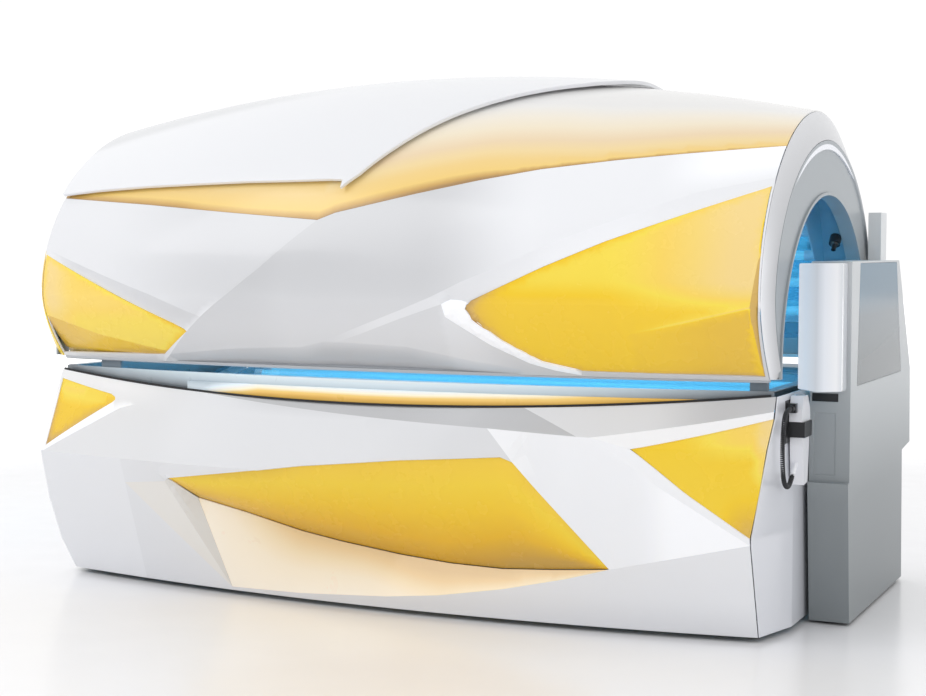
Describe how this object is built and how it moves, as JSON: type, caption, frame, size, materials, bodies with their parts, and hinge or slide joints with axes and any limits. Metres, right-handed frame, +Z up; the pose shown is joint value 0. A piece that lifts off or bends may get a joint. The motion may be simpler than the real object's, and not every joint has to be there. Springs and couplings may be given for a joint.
{
  "type": "tanning bed",
  "caption": "Clamshell tanning bed: bowed white base and hinged arched canopy with amber lenses, blue-lit tunnel, side tower and a corded handset.",
  "frame": {"origin": "middle of the whole bed's box, on the floor", "axes": "+X along the bed to its foot end, where the tower stands; +Y from the user's front side to the hinge side; +Z up"},
  "size_m": [2.394, 1.3134, 1.5071],
  "materials": {
    "white_shell": "glossy white moulding",
    "grey_shell": "satin light grey paint",
    "tower_pod": "glossy white moulding",
    "amber_lens": "translucent amber lens",
    "cream_panel": "satin cream moulding",
    "ring_grey": "glossy light grey moulding",
    "clear_acrylic": "clear acrylic sheet",
    "smoke_pane": "blue-grey tinted pane",
    "lamp_glass": "phosphor-coated lamp tube, emissive",
    "lamp_holder": "white lamp holder",
    "reflector": "polished reflector sheet",
    "light_strip": "diffusing light strip",
    "steel_frame": "powder-coated steel tube",
    "zinc_steel": "zinc-plated steel",
    "black_rubber": "matt black rubber",
    "black_plastic": "matt black plastic",
    "white_plastic": "white plastic",
    "yellow_key": "yellow push button",
    "blue_key": "blue push button",
    "green_key": "green push button",
    "cord_pvc": "black curly cord",
    "duct_white": "white painted sheet duct"
  },
  "bodies": {
    "base": {"base_front_panel": "white_shell", "base_window_lens": "amber_lens", "base_scoop": "cream_panel", "base_lens_left": "amber_lens", "base_lens_right": "amber_lens", "base_end_cover_left": "white_shell", "base_end_cover_right": "white_shell", "base_rear_cover": "grey_shell", "mains_inlet": "black_plastic", "bench_rim": "white_shell", "rim_light_lens": "light_strip", "rim_gasket": "black_rubber", "rest_buffers": "black_rubber", "bench_acrylic": "clear_acrylic", "bench_reflector": "reflector", "bench_lamps": "lamp_glass", "bench_lamp_holders": "lamp_holder", "base_frame": "steel_frame", "levelling_feet": "zinc_steel", "base_tray": "zinc_steel", "ballasts": "zinc_steel", "cooler_unit": "zinc_steel", "fan_frames": "black_plastic", "base_brackets": "zinc_steel", "hinge_pins": "zinc_steel", "tower_housing": "grey_shell", "tower_slot": "black_plastic", "tower_window": "smoke_pane", "exhaust_duct": "duct_white", "air_duct": "black_plastic", "tower_pod": "tower_pod", "handset": "white_plastic", "handset_holder": "white_plastic", "handset_cord": "cord_pvc"},
    "canopy": {"canopy_acrylic": "clear_acrylic", "canopy_reflector": "reflector", "canopy_lamps": "lamp_glass", "canopy_lamp_holders": "lamp_holder", "canopy_rails": "reflector", "canopy_bulkheads": "reflector", "canopy_rear_cover": "white_shell", "canopy_front_panel": "white_shell", "canopy_light_band": "cream_panel", "canopy_lens_left": "amber_lens", "canopy_lens_right": "amber_lens", "canopy_wing": "white_shell", "canopy_ring_left": "ring_grey", "canopy_ring_right": "ring_grey", "canopy_edge_trims": "ring_grey", "canopy_brackets": "zinc_steel", "console": "black_plastic", "nozzle_socket": "black_plastic"},
    "start_button": {"start_button": "green_key"},
    "fan_button": {"fan_button": "blue_key"},
    "air_nozzle": {"air_nozzle": "black_plastic"},
    "fan_rotor_left": {"fan_rotor_left": "black_plastic"},
    "fan_rotor_right": {"fan_rotor_right": "black_plastic"},
    "strut_cylinders": {"strut_cylinders": "steel_frame"},
    "strut_rods": {"strut_rods": "zinc_steel"},
    "handset_button": {"handset_button": "yellow_key"}
  },
  "joints": [
    {"name": "canopy_hinge", "type": "hinge", "parent": "base", "child": "canopy", "pos_m": [0, 0.61668, 0.652], "axis": [-1, 0, 0], "range_deg": [0, 40]},
    {"name": "strut_tilt", "type": "hinge", "parent": "base", "child": "strut_cylinders", "pos_m": [0, 0.63268, 0.2], "axis": [-1, 0, 0], "range_deg": [0, 3.4]},
    {"name": "strut_slide", "type": "slide", "parent": "strut_cylinders", "child": "strut_rods", "axis": [0, 0, 1], "range_m": [-0.022, 0]},
    {"name": "fan_left_spin", "type": "hinge", "parent": "base", "child": "fan_rotor_left", "pos_m": [-0.477, 0.57168, 0.3], "axis": [0, 1, 0], "continuous": true},
    {"name": "fan_right_spin", "type": "hinge", "parent": "base", "child": "fan_rotor_right", "pos_m": [0.363, 0.57168, 0.3], "axis": [0, 1, 0], "continuous": true},
    {"name": "nozzle_swivel", "type": "hinge", "parent": "canopy", "child": "air_nozzle", "pos_m": [1.025, 0.36562, 1.02083], "axis": [1, 0, 0], "range_deg": [-25, 25]},
    {"name": "start_press", "type": "slide", "parent": "canopy", "child": "start_button", "axis": [0, 0, 1], "range_m": [0, 0.0015], "stiffness_N_per_m": 400, "springref_m": -0.001},
    {"name": "fan_press", "type": "slide", "parent": "canopy", "child": "fan_button", "axis": [0, 0, 1], "range_m": [0, 0.0015], "stiffness_N_per_m": 400, "springref_m": -0.001},
    {"name": "handset_press", "type": "slide", "parent": "base", "child": "handset_button", "axis": [0, 0, -1], "range_m": [0, 0.0015], "stiffness_N_per_m": 400, "springref_m": -0.001}
  ],
  "couplings": [
    {"joint": "strut_tilt", "follows": "canopy_hinge", "ratio": 0.081},
    {"joint": "strut_slide", "follows": "canopy_hinge", "m_per_rad": -0.0297}
  ]
}
